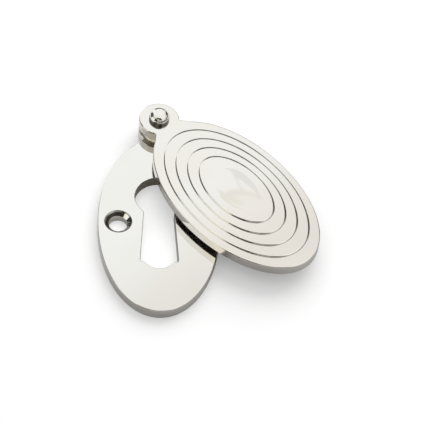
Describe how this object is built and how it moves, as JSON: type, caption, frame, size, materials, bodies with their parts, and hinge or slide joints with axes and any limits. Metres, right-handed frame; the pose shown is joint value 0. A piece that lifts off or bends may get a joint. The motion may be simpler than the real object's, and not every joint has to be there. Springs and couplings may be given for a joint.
{
  "type": "keyhole escutcheon",
  "caption": "Oval keyhole escutcheon with a keyhole-shaped opening, countersunk screw holes and a ringed oval cover that swings aside on a rivet.",
  "frame": {"origin": "midway between the two screw holes, on the back face of the plate", "axes": "+Z out of the door, the way the plate faces; +Y along the plate's length, from the screw holes' line towards the rivet; +X to the side to which the cover is swung open"},
  "size_m": [0.0574, 0.0651, 0.0098],
  "materials": {
    "plate_nickel": "polished nickel plate over solid brass",
    "cover_nickel": "polished nickel plate over solid brass",
    "washer_nickel": "nickel plate over brass",
    "pin_nickel": "polished nickel plate over brass"
  },
  "bodies": {
    "plate": {"back_plate": "plate_nickel", "spacer_washer": "washer_nickel", "pivot_pin": "pin_nickel"},
    "cover": {"swing_cover": "cover_nickel"}
  },
  "joints": [
    {"name": "cover_swing", "type": "hinge", "parent": "plate", "child": "cover", "pos_m": [0, 0.0316, 0.00453], "axis": [0, 0, 1], "continuous": true}
  ]
}
